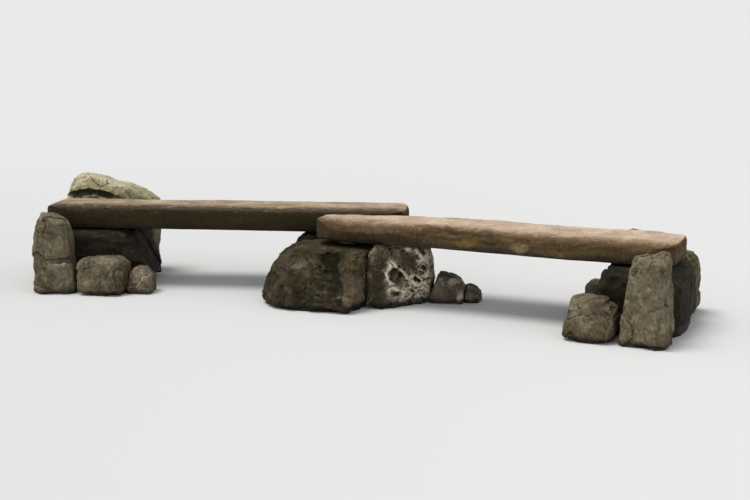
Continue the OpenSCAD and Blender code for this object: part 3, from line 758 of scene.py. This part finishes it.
# Ridges are lines across the front. A hollow is its middle, its two reaches, its turn and its depth.
ridges = [
    [(-0.218, 0.169), (-0.24, 0.122), (-0.276, 0.055), (-0.263, -0.017), (-0.221, -0.123)],
    [(-0.201, 0.22), (-0.15, 0.176), (-0.053, 0.111), (0.008, 0.034), (0.062, -0.006), (0.117, 0.007)],
    [(0.101, -0.04), (0.149, -0.087), (0.203, -0.127), (0.274, -0.116), (0.306, -0.078), (0.287, -0.029),
     (0.252, -0.01), (0.185, 0.02), (0.117, 0.007), (0.101, -0.04)],
    [(0.306, -0.063), (0.354, -0.109), (0.395, -0.162), (0.369, -0.215), (0.305, -0.185), (0.235, -0.183)],
    [(-0.227, -0.233), (-0.214, -0.205), (-0.15, -0.185), (-0.096, -0.209), (-0.041, -0.221),
     (-0.009, -0.261), (-0.003, -0.308)],
    [(0.048, 0.47), (0.151, 0.424), (0.206, 0.386), (0.276, 0.34), (0.30, 0.28), (0.24, 0.25)],
    [(0.31, 0.01), (0.345, 0.032), (0.39, 0.089)],
]
hollows = [
    ((-0.118, 0.03), (0.085, 0.125), 0, 0.15), ((0.203, -0.052), (0.075, 0.035), -30, 0.12),
    ((-0.137, -0.272), (0.042, 0.036), 0, 0.08), ((0.142, -0.218), (0.045, 0.03), -30, 0.06),
    ((0.03, -0.06), (0.03, 0.03), 0, 0.03), ((0.215, -0.364), (0.05, 0.03), 0, 0.04),
    ((0.06, 0.26), (0.16, 0.17), 0, 0.045), ((0.285, 0.119), (0.09, 0.07), 0, 0.05),
    ((0.2, -0.165), (0.11, 0.022), -10, 0.04), ((0.37, -0.02), (0.035, 0.03), 0, 0.04),
    ((0.3, 0.4), (0.04, 0.04), 0, 0.04), ((0.3, -0.3), (0.04, 0.03), 20, 0.03),
]
pitted = rough_stone("pier_pitted_boulder", seed=41, flats=8, flat_depth=0.03, flakes=10, grain=0.0105,
                     rounds=3)
points = points_of(pitted)
normals = np.empty(len(points) * 3)
pitted.data.vertices.foreach_get("normal", normals)
inwards = np.array([-0.223, 0.954, -0.202])
front = np.clip(normals.reshape(-1, 3) @ -inwards * 2 - 0.2, 0, 1)

# Places on the front, strayed by chance so that no ridge runs straight
chance = np.random.default_rng(43)
spots = on_front(points)
across, up = spots[:, 0], spots[:, 1]
for size, turn in ((0.014, 23), (0.01, 61), (0.003, 140)):
    for one, other in ((across, up), (up, across)):
        one += size * np.sin(other * turn + chance.uniform(0, 6)) * np.cos(one * turn * 0.7)

# The broad ridges
ridge_width, unevenness = 0.04, 0.35
ridged = np.zeros(len(points))
for places in ridges:
    broad = ridge_width * (1 + unevenness * np.sin(across * 37 + len(places)) * np.cos(up * 29))
    ridged = np.maximum(ridged, np.exp(-(from_line(spots, np.array(places)) / broad) ** 2))

# A comb of small cells with thin walls, at the front's lower right
cell_gap, wall_width = 0.08, 0.024
combed = np.clip((across + 0.12) / 0.1, 0, 1) * np.clip((0.05 - up + across) / 0.2, 0, 1)
cells = []
for place in spots[chance.permutation(np.flatnonzero((front > 0.1) & (combed > 0.3)))]:
    if all(np.linalg.norm(place - cell) > cell_gap for cell in cells):
        cells.append(place)
apart = np.sort(np.array([np.linalg.norm(spots - cell, axis=1) for cell in cells]), axis=0)
walls = np.exp(-((apart[1] - apart[0]) / wall_width) ** 2) * combed

# What is cut away between ridges and walls, and in the hollows
between_ridges, in_cells, ridge_hold = 0.045, 0.02, 0.85
deep = between_ridges * (1 - ridged) + in_cells * combed * (1 - walls)
for (hollow_across, hollow_up), (wide, high), turn, depth in hollows:
    a, b = across - hollow_across, up - hollow_up
    c, s = math.cos(math.radians(turn)), math.sin(math.radians(turn))
    far = ((a * c + b * s) / wide) ** 2 + ((b * c - a * s) / high) ** 2
    deep += depth * np.exp(-far ** 2) * (1 - ridge_hold * ridged)
set_points(pitted, points + np.outer(deep * front, inwards))
wall_share, held = 0.6, 0.7
bared = np.maximum(ridged, wall_share * walls) * front
note(pitted, "bare", bared)
pitted_finish = stone_finish(
    "pitted_cream",
    tones=((0.05, 0.039, 0.02), (0.11, 0.088, 0.05), (0.19, 0.155, 0.098), (0.34, 0.285, 0.19)),
    patches=((0.08, 0.068, 0.026), (0.4, 0.33, 0.225)),
    crust=((0.2, 0.175, 0.12), (0.36, 0.31, 0.22)), crust_share=0.35, moss=0.25, damp=0.09,
    # The bared ridges' cream is set brighter than the stone's own, partly as painted light for the ridges on
    # the shaded right side.
    turn=(0.7, 0.2, 0.1), pale_edges=0.3, bare=(1.0, 0.89, 0.69),
    marks=(((0.81, -0.97, 0.55), (0.15, 0.3, 0.62), (0.04, 0.032, 0.017), 0.9),
           ((1.03, -0.86, 0.76), (0.1, 0.3, 0.2), (0.27, 0.22, 0.145), 0.8),
           ((1.22, -0.62, 0.78), (0.2, 0.25, 0.17), (0.08, 0.072, 0.032), 0.8),
           ((1.4, -0.5, 0.62), (0.09, 0.3, 0.07), (0.12, 0.05, 0.02), 0.85),
           # Painted light, in part: the right and lower front are painted paler than the stone's own cream,
           # against the shade that falls on that side.
           ((1.42, -0.5, 0.42), (0.25, 0.5, 0.17), (0.62, 0.54, 0.38), 0.8),
           ((1.25, -0.55, 0.19), (0.35, 0.5, 0.19), (0.6, 0.51, 0.43), 0.8),
           ((1.44, -0.37, 0.76), (0.12, 0.5, 0.13), (0.75, 0.65, 0.52), 0.85),
           # Painted shade: the holes are painted near black as the shade inside them.
           ((1.03, -0.8, 0.53), (0.07, 0.12, 0.1), (0.008, 0.006, 0.004), 0.9),
           ((1.34, -0.55, 0.45), (0.05, 0.12, 0.025), (0.008, 0.006, 0.004), 0.85),
           ((1.02, -0.8, 0.23), (0.03, 0.12, 0.03), (0.008, 0.006, 0.004), 0.85)))
pitted_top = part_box("pier_pitted_boulder")[1][2]
weather(pitted, pitted_finish, beds=(0.0, pitted_top), kept=bared * held, lump=(0.3, 0.022),
        split=(0.3, 0.02), chip=(0.11, 0.014), grit=(0.05, 0.012), pit=(0.13, 0.035), seed=2.3)
settle(pitted, "pier_pitted_boulder")

# Foot stones: two small pointed stones at the pier's right, undressed, brown with pale crusts. They stand
# against the pitted boulder.
foot_finish = stone_finish(
    "foot_stone_brown",
    tones=((0.045, 0.034, 0.024), (0.09, 0.071, 0.048), (0.155, 0.125, 0.086), (0.3, 0.245, 0.175)),
    patches=((0.07, 0.053, 0.045), (0.4, 0.33, 0.235)),
    crust=((0.2, 0.18, 0.135), (0.36, 0.31, 0.235)), crust_share=0.4, moss=0.2, damp=0.06,
    turn=(0.4, 0.9, 0.3), layered=0.25, pale_edges=0.4,
    marks=(((1.72, -0.2, 0.45), (0.2, 0.3, 0.05), (0.06, 0.04, 0.042), 0.6),
           ((1.95, -0.2, 0.13), (0.045, 0.4, 0.13), (0.85, 0.72, 0.55), 0.9),
           ((1.87, -0.15, 0.38), (0.08, 0.4, 0.035), (0.62, 0.5, 0.41), 0.8)))
for number, node in enumerate(("pier_foot_stone_large", "pier_foot_stone_small")):
    stone = rough_stone(node, seed=50 + number, flats=6, flat_depth=0.014, flakes=8, grain=0.0095,
                        rounds=2, flake_depth=(0.003, 0.012))
    weather(stone, foot_finish, beds=(0.0,), lump=(0.2, 0.008), split=(0.2, 0.014), chip=(0.08, 0.008),
            grit=(0.04, 0.007), seed=3.3 + number)
    settle(stone, node)

# Packing stones: flat brown stones, split by hand and pushed in between slabs and boulders until each slab
# lay level and did not rock.
packing_finish = stone_finish(
    "packing_brown",
    tones=((0.03, 0.024, 0.015), (0.065, 0.052, 0.034), (0.10, 0.08, 0.054), (0.15, 0.12, 0.085)),
    patches=((0.06, 0.05, 0.032), (0.15, 0.125, 0.09)), moss=0.2, turn=(0.6, 0.3, 0.8), layered=0.3)
for number, node in enumerate(packing_nodes):
    low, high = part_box(node)
    stone = rough_stone(node, seed=60 + number, flats=6, flat_depth=0.015, flakes=8, grain=0.008,
                        rounds=2, flake_depth=(0.003, 0.01))
    weather(stone, packing_finish, beds=(low[2], high[2]), lump=(0.12, 0.006), split=(0.12, 0.006),
            chip=(0.05, 0.004), grit=(0.03, 0.003), seed=5.5 + number)
    settle(stone, node)

# Bearing boulders: the big dark undressed stones under the far ends of the slabs, one at each abutment.
# They carry the slabs on packing stones.
# The tones are partly painted shade: the stones are darkened as in the deep shade under the slab ends.
bearing_finish = stone_finish(
    "bearing_dark",
    tones=((0.009, 0.007, 0.0045), (0.016, 0.0125, 0.0075), (0.024, 0.019, 0.0115), (0.038, 0.03, 0.019)),
    patches=((0.016, 0.014, 0.007), (0.05, 0.04, 0.026)),
    crust=((0.04, 0.038, 0.022), (0.065, 0.058, 0.038)), crust_share=0.3, moss=0.4, damp=0.12,
    turn=(0.5, 0.3, 0.9), pale_edges=0.15)
for number, node in enumerate(("left_bearing_boulder", "right_bearing_boulder")):
    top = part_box(node)[1][2]
    stone = rough_stone(node, seed=80 + number, flats=14, flat_depth=0.05, flakes=26, grain=0.02, rounds=7)
    ease_top(stone, top)
    weather(stone, bearing_finish, beds=(0.0, top), lump=(0.45, 0.045), split=(0.7, 0.04),
            chip=(0.2, 0.012), grit=(0.09, 0.014), layer=(0.2, 0.008), joint=(0.9, 0.006),
            seed=11.0 + 3 * number)
    settle(stone, node)

# Bank stones: rough grey stones beside the bearing boulders, two at each abutment. Crusts and moss grow on
# them.
bank_finish = stone_finish(
    "bank_grey",
    tones=((0.045, 0.034, 0.019), (0.09, 0.07, 0.041), (0.145, 0.117, 0.072), (0.24, 0.2, 0.13)),
    patches=((0.08, 0.068, 0.032), (0.28, 0.23, 0.15)),
    crust=((0.2, 0.185, 0.12), (0.33, 0.295, 0.22)), crust_share=0.45, moss=0.3, damp=0.07,
    turn=(0.9, 0.6, 0.2), layered=0.25, pale_edges=0.2)
for number, node in enumerate(("left_bank_stone_front", "left_bank_stone_back",
                               "right_bank_stone_front", "right_bank_stone_back")):
    stone = rough_stone(node, seed=90 + number, flats=12, flat_depth=0.04, flakes=20, grain=0.018)
    beds = (0.0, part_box(node)[1][2]) if node == "left_bank_stone_back" else (0.0,)
    weather(stone, bank_finish, beds=beds, lump=(0.36, 0.04), split=(0.5, 0.04), chip=(0.16, 0.01),
            grit=(0.08, 0.012), joint=(0.7, 0.004), seed=21.0 + 2 * number)
    settle(stone, node)

# Flank stones: tall stones beside the deck that mark its four corners. The one at the back of the left end
# is the largest, a long wedge with a pale crust, laid on the bank stone.
flank_finish = stone_finish(
    "flank_grey",
    tones=((0.06, 0.047, 0.028), (0.12, 0.096, 0.058), (0.18, 0.148, 0.094), (0.28, 0.235, 0.16)),
    patches=((0.1, 0.088, 0.045), (0.32, 0.27, 0.18)),
    crust=((0.22, 0.2, 0.13), (0.36, 0.32, 0.24)), crust_share=0.5, moss=0.2, turn=(0.2, 0.8, 0.6),
    damp=0.07, pale_edges=0.2)
wedge_finish = stone_finish(
    "wedge_pale",
    tones=((0.4, 0.36, 0.22), (0.6, 0.54, 0.335), (0.76, 0.68, 0.45), (0.9, 0.8, 0.57)),
    patches=((0.4, 0.39, 0.22), (0.88, 0.78, 0.57)),
    crust=((0.4, 0.42, 0.27), (0.72, 0.66, 0.5)), crust_share=0.65, moss=0.3, turn=(0.1, 0.3, 0.5),
    tops=((0.4, 0.37, 0.24), (0.52, 0.47, 0.32), (0.62, 0.55, 0.4), (0.7, 0.62, 0.47)), streaks=0.3,
    marks=(((-3.95, 0.65, 1.45), (0.5, 0.6, 0.5), (0.26, 0.27, 0.15), 0.75),
           # Painted shadow: a dark band under the wedge's undercut, where it overhangs the slab.
           ((-5.0, 0.63, 1.44), (0.55, 0.5, 0.075), (0.09, 0.057, 0.03), 0.9)), pale_edges=0.2)
undercut = [((-5.4, 0.58, 1.41), 0.045), ((-5.2, 0.595, 1.45), 0.065), ((-5.03, 0.615, 1.475), 0.055),
            ((-4.85, 0.635, 1.455), 0.065), ((-4.64, 0.66, 1.4), 0.05), ((-4.4, 0.69, 1.36), 0.04)]
for number, node in enumerate(("left_flank_stone_front", "left_flank_stone_back",
                               "right_flank_stone_front", "right_flank_stone_back")):
    wedge = node == "left_flank_stone_back"
    flats, flat_depth, rounds = (6, 0.015, 2) if wedge else (12, 0.04, 4)
    stone = rough_stone(node, 100 + number, flats, flat_depth, flakes=20, grain=0.017, rounds=rounds)
    if wedge:
        set_points(stone, press_along(points_of(stone), undercut))
    weather(stone, wedge_finish if wedge else flank_finish, beds=(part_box(node)[0][2],), lump=(0.34, 0.035),
            split=(0.5, 0.035), chip=(0.15, 0.01), grit=(0.07, 0.011), joint=(0.7, 0.004),
            seed=31.0 + 2 * number)
    settle(stone, node)

# Bank foot stones: one low undressed stone at the foot of each abutment, of the same kind as the pier's
# foot stones.
for number, node in enumerate(("left_bank_foot_stone", "right_bank_foot_stone")):
    stone = rough_stone(node, seed=110 + number, flats=9, flat_depth=0.03, flakes=12, grain=0.012)
    weather(stone, foot_finish, beds=(0.0,), lump=(0.24, 0.02), split=(0.22, 0.024), chip=(0.09, 0.01),
            grit=(0.05, 0.008), seed=41.0 + number)
    settle(stone, node)

# Floor, light and camera: a plain pale floor that fades into the backdrop, a soft overhead light as under
# a bright grey sky, and the viewpoint of the photograph, with a longer lens and turned to the bridge.


def in_view(tree):
    """One for rays from the camera, also by way of a glossy or clear surface, and nought for the light."""
    path = wire(tree, "ShaderNodeLightPath")
    by_way = maths(tree, "MAXIMUM", path["Is Glossy Ray"], path["Is Transmission Ray"])
    return maths(tree, "MAXIMUM", path["Is Camera Ray"], by_way)


backdrop = (0.82, 0.82, 0.82, 1.0)
floor_reach, fade_start, fade_end = 400.0, 9.0, 26.0
floor_mesh = bpy.data.meshes.new("floor")
floor_form = bmesh.new()
bmesh.ops.create_grid(floor_form, x_segments=1, y_segments=1, size=floor_reach)
floor_form.to_mesh(floor_mesh)
floor_form.free()
floor = bpy.data.objects.new("floor", floor_mesh)
bpy.context.scene.collection.objects.link(floor)
floor_finish = bpy.data.materials.new("floor_pale")
floor_finish.use_nodes = True
tree = floor_finish.node_tree
tree.nodes.clear()
away = vector_maths(tree, "LENGTH", wire(tree, "ShaderNodeTexCoord")["Object"])
floor_tone = (0.8, 0.8, 0.79, 1.0)
matt = wire(tree, "ShaderNodeBsdfDiffuse", {"Color": floor_tone, "Roughness": 0.5})[0]
glow = wire(tree, "ShaderNodeEmission", {"Color": backdrop, "Strength": 1.0})[0]
fade = times(tree, within(tree, away, fade_start, fade_end), in_view(tree))
faded = wire(tree, "ShaderNodeMixShader", {0: fade, 1: matt, 2: glow})[0]
tree.links.new(faded, tree.nodes.new("ShaderNodeOutputMaterial").inputs[0])
floor_mesh.materials.append(floor_finish)

world = bpy.data.worlds.new("sky")
bpy.context.scene.world = world
world.use_nodes = True
tree = world.node_tree
tree.nodes.clear()
sky_tone = (0.94, 0.965, 1.0, 1.0)
sky_light = wire(tree, "ShaderNodeBackground", {"Color": sky_tone, "Strength": 0.57})[0]
sky_seen = wire(tree, "ShaderNodeBackground", {"Color": backdrop, "Strength": 1.0})[0]
sky = wire(tree, "ShaderNodeMixShader", {0: in_view(tree), 1: sky_light, 2: sky_seen})[0]
tree.links.new(sky, tree.nodes.new("ShaderNodeOutputWorld").inputs[0])

sun = bpy.data.lights.new("overhead", "SUN")
sun.energy = 1.75
sun.angle = math.radians(30)
sun.color = (1.0, 0.975, 0.94)
sun_place = Vector((-0.35, -0.16, 1.0))
sun_lamp = bpy.data.objects.new("overhead", sun)
sun_lamp.rotation_euler = (-sun_place).to_track_quat("-Z", "Y").to_euler()
bpy.context.scene.collection.objects.link(sun_lamp)

# Where the photograph was taken from and which way, and how far the bridge's middle lies from the
# photograph's middle, in its pixels
eye = (5.39, -19.16, 4.39)
view_x, view_y, pitch = -0.292, 0.956, math.radians(1.47)
photo_focal, bridge_right, bridge_down = 583.3, 27.0, 122.0
ahead = Vector((view_x * math.cos(pitch), view_y * math.cos(pitch), math.sin(pitch))).normalized()
beside = ahead.cross(Vector((0, 0, 1))).normalized()
above = beside.cross(ahead)
aim = ahead + beside * (bridge_right / photo_focal) - above * (bridge_down / photo_focal)
camera_data = bpy.data.cameras.new("camera")
camera_data.sensor_width = 36.0
camera_data.lens = 58.0
camera_data.clip_start, camera_data.clip_end = 0.1, 1500.0
camera = bpy.data.objects.new("camera", camera_data)
bpy.context.scene.collection.objects.link(camera)
camera.location = eye
camera.rotation_euler = (ahead.rotation_difference(aim) @ ahead.to_track_quat("-Z", "Y")).to_euler()
bpy.context.scene.camera = camera
bpy.context.scene.view_settings.view_transform = "Standard"
